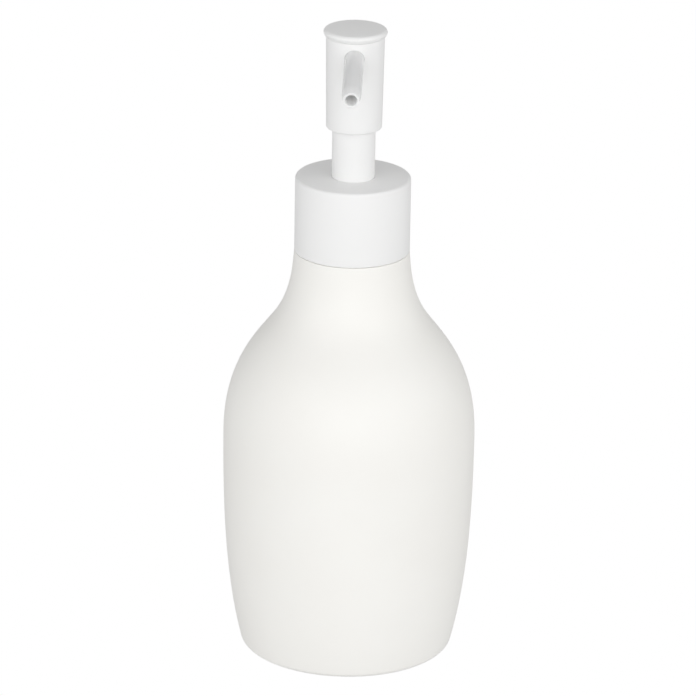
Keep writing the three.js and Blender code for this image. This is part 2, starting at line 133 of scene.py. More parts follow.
HEAD_FLARE = 0.4
HEAD_WALL = 1.3
HEAD_FLOOR = 1.6
CORE_CLEARANCE = 1.5
CAP_THICKNESS = 2.15
CAP_PLUG_DEPTH = 1.2
CAP_BEVEL = 0.5
CAP_EDGE = 1.05
SPOUT_DROP = 4.1
SPOUT_DROOP = 0.08
SPOUT_REACH = 39.19
SPOUT_RADIUS = 2.9
SPOUT_TIP_RADIUS = 2.35
SPOUT_BORE = 1.7
SPOUT_SHANK = 0.65
SPOUT_TAPER = 5.0


def low(node):
    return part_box(node)[0].z / MM


def top(node):
    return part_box(node)[1].z / MM


def radius(node):
    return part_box(node)[1].x / MM


# ---------------------------------------------------------------- outlines


def rounded(corners, steps=6):
    """The outline through (radius, height, fillet) corners, with an arc at each corner that has a fillet."""
    points = []
    for i, corner in enumerate(corners):
        here = Vector(corner[:2])
        if len(corner) < 3:
            points.append(tuple(here))
            continue
        fillet = corner[2]
        back = (Vector(corners[i - 1][:2]) - here).normalized()
        ahead = (Vector(corners[(i + 1) % len(corners)][:2]) - here).normalized()
        half = back.angle(ahead) / 2
        centre = here + (back + ahead).normalized() * fillet / math.sin(half)
        first = here + back * fillet / math.tan(half) - centre
        last = here + ahead * fillet / math.tan(half) - centre
        start = math.atan2(first.y, first.x)
        turn = math.remainder(math.atan2(last.y, last.x) - start, math.tau)
        for step in range(steps + 1):
            angle = start + turn * step / steps
            points.append((centre.x + fillet * math.cos(angle), centre.y + fillet * math.sin(angle)))
    return points


def bezier(a, b, c, d, steps):
    """Points after a, up to and with d, on the cubic curve through a and d with handles b and c."""
    points = []
    for step in range(1, steps + 1):
        t = step / steps
        s = 1 - t
        weights = (s**3, 3 * s * s * t, 3 * s * t * t, t**3)
        points.append(tuple(sum(w * p[axis] for w, p in zip(weights, (a, b, c, d))) for axis in (0, 1)))
    return points


def rows(r, start, end, spacing):
    """Points straight up or down at radius r, close enough together to carry a thread or ribs."""
    count = max(1, round(abs(end - start) / spacing))
    return [(r, start + (end - start) * i / count) for i in range(count + 1)]


# ---------------------------------------------------------------- meshes


def new_object(name, bm):
    """A linked object made from a bmesh, smooth but for its sharp edges."""
    bmesh.ops.recalc_face_normals(bm, faces=bm.faces[:])
    mesh = bpy.data.meshes.new(name)
    bm.to_mesh(mesh)
    bm.free()
    mesh.shade_smooth()
    mesh.set_sharp_from_angle(angle=SHARP_ANGLE)
    obj = bpy.data.objects.new(name, mesh)
    bpy.context.scene.collection.objects.link(obj)
    return obj


def skin(bm, rings, closed):
    """Faces between neighbouring rings of vertices. A ring of one vertex is a point on the axis."""
    pairs = list(zip(rings, rings[1:]))
    if closed:
        pairs.append((rings[-1], rings[0]))
    for a, b in pairs:
        count = max(len(a), len(b))
        if count == 1:
            continue
        for i in range(count):
            j = (i + 1) % count
            corners = [a[i % len(a)], a[j % len(a)], b[j % len(b)], b[i % len(b)]]
            bm.faces.new(list(dict.fromkeys(corners)))


def revolve(name, outline, sides=SIDES, shape=None):
    """An outline of (radius, height) turned round +Z. shape(angle, radius, height) may change a radius."""
    bm = bmesh.new()
    rings = []
    for r, z in outline:
        if r < 1e-6:
            rings.append([bm.verts.new((0, 0, z * MM))])
            continue
        ring = []
        for i in range(sides):
            angle = math.tau * i / sides
            moved = (shape(angle, r, z) if shape else r) * MM
            ring.append(bm.verts.new((moved * math.cos(angle), moved * math.sin(angle), z * MM)))
        rings.append(ring)
    on_axis = len(rings[0]) == 1 and len(rings[-1]) == 1
    skin(bm, rings, closed=not on_axis)
    return new_object(name, bm)


def sweep(name, path, section, sides, slant=0.0):
    """A bar along a path, or a tube where section is (outer, inner). slant leans the far end's cut."""
    outer, inner = section if isinstance(section, tuple) else (section, 0)
    bm = bmesh.new()
    outside, inside = [], []
    side = Vector((1, 0, 0))
    for i, point in enumerate(path):
        tangent = (path[min(i + 1, len(path) - 1)] - path[max(i - 1, 0)]).normalized()
        side = (side - tangent * side.dot(tangent)).normalized()
        across = tangent.cross(side)
        lean = slant if i == len(path) - 1 else 0
        for ring, r in ((outside, outer), (inside, inner)):
            circle = []
            for k in range(sides if r else 1):
                angle = math.tau * k / sides
                offset = side * math.cos(angle) * r + across * math.sin(angle) * r
                circle.append(bm.verts.new((point + offset + tangent * math.sin(angle) * r * lean) * MM))
            ring.append(circle)
    if inner:
        skin(bm, outside + inside[::-1], closed=True)
    else:
        for ring in inside[1:-1]:
            bm.verts.remove(ring[0])
        skin(bm, [inside[0]] + outside + [inside[-1]], closed=False)
    return new_object(name, bm)


def boolean(obj, tool, operation):
    """Cuts or joins obj with tool, for good, and removes tool."""
    modifier = obj.modifiers.new("cut", "BOOLEAN")
    modifier.object = tool
    modifier.operation = operation
    modifier.solver = "EXACT"
    evaluated = obj.evaluated_get(bpy.context.evaluated_depsgraph_get())
    mesh = bpy.data.meshes.new_from_object(evaluated)
    obj.modifiers.clear()
    obj.data = mesh
    bpy.data.objects.remove(tool)
    mesh.shade_smooth()
    mesh.set_sharp_from_angle(angle=SHARP_ANGLE)
    return obj


def plus_bar(reach, thickness, low_z, high_z):
    """A plus-shaped bar standing on end."""
    bm = bmesh.new()
    half = thickness / 2
    corners = []
    for quarter in range(4):
        turn = Matrix.Rotation(quarter * math.pi / 2, 2)
        corners += [turn @ Vector(p) for p in ((half, -half), (reach, -half), (reach, half))]
    ends = [[bm.verts.new((p.x * MM, p.y * MM, z * MM)) for p in corners] for z in (low_z, high_z)]
    skin(bm, ends, closed=False)
    for end in ends:
        bm.faces.new(end)
    return new_object("plus_bar", bm)


def finish_piece(obj, node, body, material):
    """The object stands for its CAD node, in its body, with its material."""
    obj.data.materials.clear()
    obj.data.materials.append(material)
    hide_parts(node)
    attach(obj, body)
    return obj


# ---------------------------------------------------------------- materials


class Nodes:
    """A material's node tree, with its Principled shader at hand."""

    def __init__(self, name):
        self.material = bpy.data.materials.new(name)
        self.material.use_nodes = True
        self.tree = self.material.node_tree
        self.shader = self.tree.nodes["Principled BSDF"]
        self.place = self.add("ShaderNodeTexCoord").outputs["Object"]

    def add(self, kind, **settings):
        node = self.tree.nodes.new(kind)
        for key, value in settings.items():
            setattr(node, key, value)
        return node

    def link(self, start, end):
        self.tree.links.new(start, end)

    def noise(self, size_mm, detail=2.0, stretch=(1, 1, 1)):
        """Soft noise whose lumps are about size_mm across, stretched along the axes."""
        mapping = self.add("ShaderNodeMapping")
        mapping.inputs["Scale"].default_value = stretch
        noise = self.add("ShaderNodeTexNoise")
        noise.inputs["Scale"].default_value = 1 / (size_mm * MM)
        noise.inputs["Detail"].default_value = detail
        self.link(self.place, mapping.inputs["Vector"])
        self.link(mapping.outputs["Vector"], noise.inputs["Vector"])
        return noise.outputs["Fac"]

    def spread(self, value, low_value, high_value, source=(0.3, 0.7)):
        """A value mapped to a range."""
        node = self.add("ShaderNodeMapRange")
        node.inputs["From Min"].default_value, node.inputs["From Max"].default_value = source
        node.inputs["To Min"].default_value, node.inputs["To Max"].default_value = low_value, high_value
        self.link(value, node.inputs["Value"])
        return node.outputs["Result"]

    def tint(self, value, dark, light):
        """Two close colours mixed by a value."""
        node = self.add("ShaderNodeMix", data_type="RGBA")
        node.inputs["A"].default_value = (*dark, 1)
        node.inputs["B"].default_value = (*light, 1)
        self.link(value, node.inputs["Factor"])
        return node.outputs["Result"]

    def bump(self, height, depth_mm, after=None):
        """A bump of the given depth, on top of another."""
        node = self.add("ShaderNodeBump")
        node.inputs["Strength"].default_value = 1
        node.inputs["Distance"].default_value = depth_mm * MM
        self.link(height, node.inputs["Height"])
        if after:
            self.link(after, node.inputs["Normal"])
        return node.outputs["Normal"]

    def seam(self, width_mm):
        """1 on the mould's parting line, where the y axis is crossed, and 0 away from it."""
        split = self.add("ShaderNodeSeparateXYZ")
        self.link(self.place, split.inputs["Vector"])
        size = self.add("ShaderNodeMath", operation="ABSOLUTE")
        self.link(split.outputs["Y"], size.inputs[0])
        line = self.add("ShaderNodeMapRange", interpolation_type="SMOOTHSTEP")
        line.inputs["From Max"].default_value = width_mm * MM
        line.inputs["To Min"].default_value = 1
        line.inputs["To Max"].default_value = 0
        self.link(size.outputs[0], line.inputs["Value"])
        return line.outputs["Result"]


def plastic(name, dark, light, rough, grain_mm=0.35, grain_depth=0.004, seam_depth=0.0, translucent=0.0):
    """Moulded plastic: faintly uneven colour and gloss, a fine grain, slow waviness, maybe a parting line."""
    nodes = Nodes(name)
    shader = nodes.shader
    shader.inputs["IOR"].default_value = 1.49
    if translucent:
        shader.inputs["Subsurface Weight"].default_value = translucent
        shader.inputs["Subsurface Radius"].default_value = (1, 0.98, 0.97)
        shader.inputs["Subsurface Scale"].default_value = 2.5 * MM
    cloud = nodes.noise(28, detail=3)
    nodes.link(nodes.tint(nodes.spread(cloud, 0, 1), dark, light), shader.inputs["Base Color"])
    smear = nodes.noise(6, detail=4, stretch=(1, 1, 0.35))
    nodes.link(nodes.spread(smear, rough[0], rough[1]), shader.inputs["Roughness"])
    normal = nodes.bump(nodes.noise(14, detail=1), 0.02)
    normal = nodes.bump(nodes.noise(grain_mm, detail=3), grain_depth, after=normal)
    if seam_depth:
        normal = nodes.bump(nodes.seam(0.16), seam_depth, after=normal)
    nodes.link(normal, shader.inputs["Normal"])
    return nodes.material


def rubber_foam():
    """Closed-cell foam: fine pits and a dull surface."""
    nodes = Nodes("gasket_foam")
    cells = nodes.add("ShaderNodeTexVoronoi")
    cells.inputs["Scale"].default_value = 1 / (0.3 * MM)
    nodes.link(nodes.place, cells.inputs["Vector"])
    pits = cells.outputs["Distance"]
    nodes.link(nodes.tint(pits, (0.4, 0.4, 0.39), (0.52, 0.52, 0.51)), nodes.shader.inputs["Base Color"])
    nodes.link(nodes.spread(pits, 0.8, 0.95, (0, 1)), nodes.shader.inputs["Roughness"])
    nodes.link(nodes.bump(pits, 0.05), nodes.shader.inputs["Normal"])
    return nodes.material


def drawn_steel():
    """Stainless wire and a ball: bright, with faint drawing marks."""
    nodes = Nodes("steel")
    nodes.shader.inputs["Metallic"].default_value = 1
    marks = nodes.noise(0.12, detail=4)
    nodes.link(nodes.tint(marks, (0.55, 0.56, 0.58), (0.66, 0.67, 0.69)), nodes.shader.inputs["Base Color"])
    nodes.link(nodes.spread(marks, 0.18, 0.34), nodes.shader.inputs["Roughness"])
    nodes.link(nodes.bump(marks, 0.003), nodes.shader.inputs["Normal"])
    return nodes.material


MATERIALS = {
    "bottle_white": plastic(
        "bottle_white",
        dark=(0.9, 0.889, 0.855),
        light=(0.915, 0.907, 0.875),
        rough=(0.42, 0.52),
        grain_mm=0.45,
        grain_depth=0.006,
        seam_depth=0.03,
    ),
    "pump_white": plastic(
        "pump_white",
        dark=(0.864, 0.864, 0.86),
        light=(0.88, 0.88, 0.876),
        rough=(0.36, 0.44),
    ),
    # Painted light: a lighter, fully translucent copy of the pump's white, so the shade in the spout's bore
    # and on its flanks comes out lighter.
    "spout_white_painted_light": plastic(
        "spout_white_painted_light",
        dark=(0.94, 0.94, 0.935),
        light=(0.955, 0.955, 0.95),
        rough=(0.2, 0.27),
        translucent=1.0,
    ),
    "natural_plastic": plastic(
        "natural_plastic",
        dark=(0.74, 0.75, 0.72),
        light=(0.8, 0.81, 0.785),
        rough=(0.35, 0.5),
        translucent=0.3,
    ),
    "seal_plastic": plastic(
        "seal_plastic",
        dark=(0.7, 0.73, 0.76),
        light=(0.76, 0.785, 0.81),
        rough=(0.5, 0.62),
        translucent=0.2,
    ),
    "tube_plastic": plastic(
        "tube_plastic",
        dark=(0.72, 0.76, 0.76),
        light=(0.78, 0.815, 0.815),
        rough=(0.3, 0.42),
        translucent=0.4,
    ),
    "gasket_foam": rubber_foam(),
    "steel": drawn_steel(),
}


# ---------------------------------------------------------------- bottle


def ridge(angle, z, start_z):
    """How far a thread stands out at an angle and height. It dies away at both ends."""
    height = 0
    for lap in range(math.ceil(THREAD_TURNS) + 1):
        turn = angle / math.tau + lap
        if not 0 < turn < THREAD_TURNS:
            continue
        away = abs(z - start_z - turn * THREAD_PITCH)
        flank = (THREAD_ROOT / 2 - away) / ((THREAD_ROOT - THREAD_CREST) / 2)
        fade = min(1, turn / THREAD_FADE, (THREAD_TURNS - turn) / THREAD_FADE)
        height = max(height, min(1, flank) * fade * THREAD_HEIGHT)
    return height


def bottle():
    body = radius("bottle")
    neck_top = top("bottle")
    seat = neck_top - NECK_HEIGHT
    shoulder = radius("collar_shell")
    neck = radius("pump_housing")
    bore = neck - NECK_WALL
    lean = math.atan(BASE_FLARE)
    ring_inner = BASE_RING_RADIUS - BASE_RING_WIDTH

    foot = [(0, BASE_HOLLOW), (ring_inner * 0.3, BASE_HOLLOW * 0.97)]
    foot += bezier(
        (ring_inner * 0.3, BASE_HOLLOW * 0.97),
        (ring_inner * 0.75, BASE_HOLLOW * 0.85),
        (ring_inner - 2.2, 0.2),
        (ring_inner, 0),
        14,
    )
    wall = []
    for step in range(9):
        angle = -math.pi / 2 + (math.pi / 2 - lean) * step / 8
        wall.append((BASE_RING_RADIUS + BASE_FILLET * math.cos(angle), BASE_FILLET * (1 + math.sin(angle))))
    start = wall[-1]
    widest = (body, WIDEST_Z)
    bend = (BEND_RADIUS, BEND_Z)
    slope = Vector((math.sin(BEND_ANGLE), -math.cos(BEND_ANGLE)))
    meet = (shoulder, seat)
    wall += bezier(
        start,
        (start[0] + WALL_PULL * math.sin(lean), start[1] + WALL_PULL * math.cos(lean)),
        (body, WIDEST_Z - WALL_PULL),
        widest,
        22,
    )
    wall += bezier(
        widest,
        (body, WIDEST_Z + SHOULDER_PULL),
        tuple(Vector(bend) + slope * BEND_PULL_BELOW),
        bend,
        20,
    )
    wall += bezier(
        bend,
        tuple(Vector(bend) - slope * BEND_PULL_ABOVE),
        (shoulder + COLLAR_LEAN * COLLAR_PULL, seat - COLLAR_PULL),
        meet,
        16,
    )
    edge = rounded([wall[-2], (shoulder, seat, 0.2), (neck, seat, 0.35), (neck, seat + 1)], steps=4)[1:-1]
    outside = wall[:-1] + edge + rows(neck, seat + 0.6, neck_top - 0.7, 0.16)
    lip = rounded(
        [(neck, neck_top - 1), (neck, neck_top, 0.45), (bore, neck_top, 0.3), (bore, seat)],
        steps=5,
    )[1:-1]
    inside = offset_inside(wall, seat)
    outline = foot + outside + lip + inside

    def shape(angle, r, z):
        on_neck = abs(r - neck) < 1e-6 and seat + 0.6 <= z <= neck_top - 0.7
        return r + ridge(angle, z, seat + THREAD_START) if on_neck else r

    return revolve("bottle_fine", outline, shape=shape)


def offset_inside(wall, seat):
    """The wall's inner surface, from the neck down to the floor and in to the axis."""
    floor_z = BASE_HOLLOW + BASE_THICKNESS
    corner = 4.0
    bore = radius("pump_housing") - NECK_WALL
    inner = []
    for before, here, after in zip(wall, wall[1:], wall[2:]):
        run = (Vector(after) - Vector(before)).normalized()
        moved = (here[0] - run.y * BOTTLE_WALL, here[1] + run.x * BOTTLE_WALL)
        if floor_z + corner < moved[1] < seat - 2 * BOTTLE_WALL:
            inner.append(moved)
    inner.reverse()
    throat = rounded([(bore, seat + 4), (bore, seat - BOTTLE_WALL, 3), inner[0]], steps=6)[1:-1]
    lowest = inner[-1]
    floor = rounded([inner[-2], (lowest[0] - 0.25 * corner, floor_z, corner), (0, floor_z)], steps=8)[1:-1]
    return throat + inner + floor + [(0, floor_z)]


# ---------------------------------------------------------------- collar


def collar_shell():
    outer = radius("collar_shell")
    bottom = top("bottle") - NECK_HEIGHT + SEAT_GAP
    upper = top("collar_shell")
    bore = outer - COLLAR_WALL
    hole = radius("stem_sleeve") + SLEEVE_GAP
    ceiling = upper - COLLAR_TOP
    return revolve(
        "collar_shell_fine",
        rounded([
            (bore, bottom, 0.15),
            (outer, bottom, 0.3),
            (outer, upper, 0.9),
            (hole, upper, 0.12),
            (hole, ceiling, 0.15),
            (bore, ceiling, 0.5),
        ]),
    )


def threaded_closure():
    outer = radius("threaded_closure")
    body = outer - RIB_DEPTH
    bore = outer - CLOSURE_WALL
    bottom, upper = low("threaded_closure"), top("threaded_closure")
    web = upper - CLOSURE_WEB
    hole = radius("lock_ring") - LOCK_LIP + FIT_GAP
    seat = top("bottle") - NECK_HEIGHT
    overlap = radius("pump_housing") + THREAD_HEIGHT - bore + THREAD_HEIGHT
    flank = (THREAD_ROOT - THREAD_CREST) / 2 / THREAD_HEIGHT
    spacing = (THREAD_ROOT + THREAD_CREST) / 2 + flank * (THREAD_HEIGHT - overlap) + FIT_GAP
    foot = rounded(
        [(bore, bottom + 1), (bore, bottom, 0.2), (body, bottom, 0.2), (body, bottom + 1)],
        steps=3,
    )[1:-1]
    lid = rounded(
        [
            (body, upper - 1),
            (body, upper, 0.3),
            (hole, upper, 0.2),
            (hole, web, 0.2),
            (bore, web, 0.4),
            (bore, web - 1),
        ],
        steps=3,
    )[1:-1]
    wall = rows(body, bottom + 0.5, upper - 0.5, 0.5)
    outline = foot + wall + lid + rows(bore, web - 0.5, bottom + 0.3, 0.16)

    def shape(angle, r, z):
        if abs(r - body) < 1e-6 and bottom + 1.2 < z < upper - 1.2:
            wave = abs(math.remainder(angle * CLOSURE_RIBS, math.tau)) / math.pi
            return r + RIB_DEPTH * min(1, max(0, 1.6 - wave * 6))
        if abs(r - bore) < 1e-6 and bottom + 0.3 <= z <= web - 0.5:
            return r - ridge(angle, z, seat + THREAD_START - spacing)
        return r

    return revolve("threaded_closure_fine", outline, sides=CLOSURE_RIBS * 12, shape=shape)


def neck_gasket():
    outer = radius("neck_gasket")
    bottom, upper = low("neck_gasket"), top("neck_gasket")
    inner = outer - NECK_WALL - BARREL_CLEARANCE + FIT_GAP
    corners = [(inner, bottom, 0.2), (outer, bottom, 0.25), (outer, upper, 0.25), (inner, upper, 0.2)]
    return revolve("neck_gasket_fine", rounded(corners, steps=3), sides=MEDIUM_SIDES)


# ---------------------------------------------------------------- pump


def pump_housing():
    flange_radius = radius("pump_housing")
    upper = top("pump_housing")
    barrel = flange_radius - NECK_WALL - BARREL_CLEARANCE
    barrel_bore = barrel - BARREL_WALL
    chamber = radius("piston") + SLIDE_GAP
    lower = chamber + BARREL_WALL
    step = low("lock_ring") + LOCK_BOSS - FIT_GAP
    ledge = low("ball_retainer") - SEAT_GAP
    ball_bore = radius("inlet_ball") + OPEN_GAP
    inlet = 1.4
    ball_z = (low("inlet_ball") + top("inlet_ball")) / 2
    apex = ball_z - (radius("inlet_ball") + SEAT_GAP) * math.sqrt(2)
    socket = top("dip_tube") + SEAT_GAP
    socket_bore = TUBE_RADIUS + SEAT_GAP
    tail = 3.9
    corners = [
        (socket_bore, low("pump_housing"), 0.2),
        (tail, low("pump_housing"), 0.3),
        (tail, apex + inlet, 1.0),
        (lower, ledge - BARREL_WALL, 1.0),
        (lower, step - BARREL_WALL - barrel + lower, 0.8),
        (barrel, step - BARREL_WALL, 0.8),
        (barrel, upper - FLANGE, 0.3),
        (flange_radius, upper - FLANGE, 0.2),
        (flange_radius, upper, 0.3),
        (barrel_bore, upper, 0.25),
        (barrel_bore, step, 0.3),
        (chamber, step, 0.3),
        (chamber, ledge, 0.3),
        (ball_bore, ledge, 0.15),
        (ball_bore, apex + ball_bore, 0.3),
        (inlet, apex + inlet, 0.15),
        (inlet, socket),
        (socket_bore, socket, 0.1),
    ]
    housing = revolve("pump_housing_fine", rounded(corners, steps=4), sides=MEDIUM_SIDES)
    vent = revolve("vent", [(0, 0), (0.6, 0), (0.6, 2 * barrel), (0, 2 * barrel)], sides=32)
    vent_z = (step + upper - FLANGE) / 2
    vent.data.transform(Matrix.Translation((0, 0, vent_z * MM)) @ Matrix.Rotation(-math.pi / 2, 4, "X"))
    return boolean(housing, vent, "DIFFERENCE")


def lock_ring():
    flange = radius("lock_ring")
    wall = flange - LOCK_LIP
    inner = wall - LOCK_WALL
    upper, bottom = top("lock_ring"), low("lock_ring")
    floor_z = bottom + LOCK_BOSS
    stem = radius("piston_stem")
    boss = radius("piston") + SLIDE_GAP - FIT_GAP
    pocket = stem + SLIDE_GAP + 1.15
    corners = [
        (pocket, bottom, 0.15),
        (boss, bottom, 0.2),
        (boss, floor_z, 0.2),
        (wall, floor_z, 0.4),
        (wall, upper - LOCK_FLANGE, 0.15),
        (flange, upper - LOCK_FLANGE, 0.2),
        (flange, upper, 0.35),
        (inner, upper, 0.3),
        (inner, floor_z + LOCK_FLOOR, 0.6),
        (stem + OPEN_GAP, floor_z + LOCK_FLOOR, 0.25),
        (stem + OPEN_GAP, floor_z, 0.1),
        (pocket, floor_z, 0.1),
    ]
    return revolve("lock_ring_fine", rounded(corners, steps=4), sides=MEDIUM_SIDES)


def stem_wiper():
    inner = radius("piston_stem") + SLIDE_GAP
    outer = radius("stem_wiper")
    bottom, upper = low("stem_wiper"), top("stem_wiper")
    lip = 0.35
    corners = [
        (inner, bottom, 0.1),
        (inner + lip, bottom, 0.1),
        (inner + 2 * lip, bottom + 2 * lip, 0.1),
        (outer, bottom + 2 * lip, 0.12),
        (outer, upper, 0.12),
        (inner + lip, upper, 0.12),
        (inner + lip, bottom + 3 * lip, 0.1),
        (inner, bottom + lip, 0.1),
    ]
    return revolve("stem_wiper_fine", rounded(corners, steps=3), sides=SMALL_SIDES)


def piston_stem():
    outer = radius("piston_stem")
    bottom, upper = low("piston_stem"), top("piston_stem")
    corners = [(STEM_BORE, bottom, 0.25), (outer, bottom, 0.3), (outer, upper, 0.3), (STEM_BORE, upper, 0.25)]
    return revolve("piston_stem_fine", rounded(corners, steps=4), sides=SMALL_SIDES)


def valve_plug():
    outer = radius("valve_plug")
    bottom, upper = low("valve_plug"), top("valve_plug")
    flange = bottom + 3
    rim = flange + 1.6
    guide = radius("return_spring") - 1.5 * SPRING_WIRE - 0.5
    neck = STEM_BORE + 0.1
    corners = [
        (0, bottom),
        (guide, bottom, 0.4),
        (guide, flange, 0.2),
        (outer, flange, 0.25),
        (outer, rim, 0.25),
        (neck, rim + 0.9, 0.1),
        (0, rim + 0.9),
    ]
    thickness = 1.2
    reach = math.sqrt((STEM_BORE - SLIDE_GAP) ** 2 - (thickness / 2) ** 2)
    plug = revolve("valve_plug_fine", rounded(corners, steps=4), sides=SMALL_SIDES)
    return boolean(plug, plus_bar(reach, thickness, flange + 1, upper), "UNION")


def piston():
    seal = radius("piston")
    bottom, upper = low("piston"), top("piston")
    stem = radius("piston_stem") + SLIDE_GAP
    waist = stem + 0.85
    passage = STEM_BORE + 0.8
    lip = 0.5
    step = bottom + 4.5
    corners = [
        (passage, bottom + 1.3, 0.15),
        (waist - 0.2, bottom, 0.15),
        (seal, bottom, 0.12),
        (seal, bottom + 0.6, 0.12),
        (waist, bottom + 2.3, 0.5),
        (waist, upper - 2.6, 0.5),
        (seal, upper - 0.6, 0.12),
        (seal, upper, 0.12),
        (seal - lip, upper, 0.12),
        (waist - 0.2, upper - 1.6, 0.2),
        (stem, upper - 1.6, 0.12),
        (stem, step, 0.1),
        (passage, step, 0.12),
    ]
    return revolve("piston_fine", rounded(corners, steps=3), sides=SMALL_SIDES)


def return_spring():
    wire, turns = SPRING_WIRE, SPRING_TURNS
    coil = radius("return_spring") - wire / 2
    bottom, length = low("return_spring"), top("return_spring") - low("return_spring")
    closed = wire + 0.05
    pitch = (length - wire - 2 * closed) / (turns - 2)
    path = []
    steps = turns * 40
    for step in range(steps + 1):
        turn = turns * step / steps
        closed_turns = min(turn, 1) + max(0, turn - turns + 1)
        rise = closed_turns * closed + min(max(turn - 1, 0), turns - 2) * pitch
        angle = turn * math.tau
        path.append(Vector((coil * math.cos(angle), coil * math.sin(angle), bottom + wire / 2 + rise)))
    return sweep("return_spring_fine", path, wire / 2, sides=14)


def ball_retainer():
    outer = radius("ball_retainer")
    bottom, upper = low("ball_retainer"), top("ball_retainer")
    disc = revolve(
        "ball_retainer_fine",
        rounded([(0, bottom), (outer, bottom, 0.15), (outer, upper, 0.25), (0, upper)], steps=4),
        sides=SMALL_SIDES,
    )
    return boolean(disc, plus_bar(2.7, 1.6, bottom - 1, upper + 1), "DIFFERENCE")


def inlet_ball():
    r = radius("inlet_ball")
    middle = low("inlet_ball") + r
    half_turn = 40
    angles = [math.pi * i / half_turn for i in range(half_turn + 1)]
    outline = [(r * math.sin(angle), middle - r * math.cos(angle)) for angle in angles]
    return revolve("inlet_ball_fine", outline, sides=SMALL_SIDES)


def dip_tube():
    """Straight in its socket, then bent forward to the bottle's edge, and cut slantwise."""
    upper = top("dip_tube")
    tail = low("pump_housing")
    path = [Vector((0, 0, upper + (tail - upper) * i / 4)) for i in range(4)]
    handles = [
        (0, tail),
        (0, tail * 0.6 + TUBE_END * 0.4),
        (-TUBE_REACH * 0.6, tail * 0.3 + TUBE_END * 0.7),
        (-TUBE_REACH, TUBE_END),
    ]
    path += [Vector((0, y, z)) for y, z in [handles[0]] + bezier(*handles, 26)]
    # The slanting cut takes the last of it away.
    path[-1] += (path[-2] - path[-1]).normalized() * 1.4
    return sweep("dip_tube_fine", path, (TUBE_RADIUS, TUBE_BORE), sides=40, slant=-0.36)


# ---------------------------------------------------------------- head


def stem_sleeve():
    outer = radius("stem_sleeve")
    bottom, upper = low("stem_sleeve"), top("stem_sleeve")
    inner = outer - SLEEVE_WALL
    corners = [(inner, bottom, 0.2), (outer, bottom, 0.3), (outer, upper, 0.2), (inner, upper, 0.2)]
    return revolve("stem_sleeve_fine", rounded(corners))


def along_spout(obj):
    """Lays a piece made along +Z down along the spout's axis."""
    axis_z = (top("head_shell") - SPOUT_DROP) * MM
    turn = Matrix.Rotation(SPOUT_DROOP, 4, "X") @ Matrix.Rotation(math.pi / 2, 4, "X")
    obj.data.transform(Matrix.Translation((0, 0, axis_z)) @ turn)
    return obj


def head_shell():
    high = radius("head_shell")
    lower = high - HEAD_FLARE
    bottom, upper = low("head_shell"), top("head_shell")
    hole = radius("stem_sleeve") + TRIM_GAP
    flare = rows(0, 0, 1, 1 / 36)[2:-2]
    straight = [(lower + HEAD_FLARE * t, bottom + (upper - bottom) * t) for _, t in flare]
    lower_edge = rounded(
        [(hole, bottom + 1), (hole, bottom, 0.1), (lower, bottom, 0.4), (high, upper)],
        steps=5,
    )[1:-1]
    inner_foot = (lower - HEAD_WALL, bottom + HEAD_FLOOR)
    upper_edge = rounded(
        [(lower, bottom), (high, upper, 0.12), (high - HEAD_WALL, upper, 0.12), inner_foot],
        steps=3,
    )[1:-1]
    inner_floor = [inner_foot, (hole, bottom + HEAD_FLOOR)]
    shell = revolve("head_shell_fine", lower_edge + straight + upper_edge + inner_floor)
    drum = high - HEAD_WALL - CORE_CLEARANCE
    hole_radius = SPOUT_RADIUS + TRIM_GAP
    cutter = [(0, drum), (hole_radius, drum), (hole_radius, 2 * high), (0, 2 * high)]
    return boolean(shell, along_spout(revolve("hole", cutter, sides=MEDIUM_SIDES)), "DIFFERENCE")


def head_cap():
    outer = radius("head_cap")
    upper = top("head_cap")
    under = upper - CAP_THICKNESS
    plug = radius("head_shell") - HEAD_WALL - FIT_GAP
    corners = [
        (0, under),
        (plug - 0.9, under, 0.15),
        (plug - 0.9, under - CAP_PLUG_DEPTH, 0.15),
        (plug, under - CAP_PLUG_DEPTH, 0.25),
        (plug, under, 0.1),
        (outer - CAP_BEVEL, under, 0.2),
        (outer, under + 2 * CAP_BEVEL, 0.4),
        (outer, upper, CAP_EDGE),
        (0, upper),
    ]
    return revolve("head_cap_fine", rounded(corners, steps=7))


def actuator_core():
    stem = radius("piston_stem")
    socket = stem + SLIDE_GAP
    core = socket + 1.25
    flange = radius("actuator_core")
    flange_z = top("stem_sleeve") + FIT_GAP
    drum = radius("head_shell") - HEAD_WALL - CORE_CLEARANCE
    upper = top("actuator_core")
    axis_z = top("head_shell") - SPOUT_DROP
    drum_z = axis_z - SPOUT_TIP_RADIUS - 1.65
    stem_top = top("piston_stem")
    corners = [
        (0, upper - 1.25),
        (STEM_BORE, upper - 1.25, 0.2),
        (STEM_BORE, stem_top + SEAT_GAP, 0.15),
        (socket, stem_top + SEAT_GAP, 0.1),
        (socket, low("actuator_core"), 0.2),
        (core, low("actuator_core"), 0.25),
        (core, flange_z, 0.2),
        (flange, flange_z, 0.2),
        (flange, flange_z + 1.6, 0.3),
        (core, flange_z + 1.6, 0.3),
        (core, drum_z - drum + core, 0.5),
        (drum, drum_z, 0.5),
        (drum, upper, 0.4),
        (0, upper),
    ]
    body = revolve("actuator_core_fine", rounded(corners, steps=4), sides=MEDIUM_SIDES)
    bore = SPOUT_BORE + SPOUT_SHANK + SEAT_GAP
    cutter = revolve("socket", [(0, 0.5), (bore, 0.5), (bore, drum + 1), (0, drum + 1)], SMALL_SIDES)
    return boolean(body, along_spout(cutter), "DIFFERENCE")


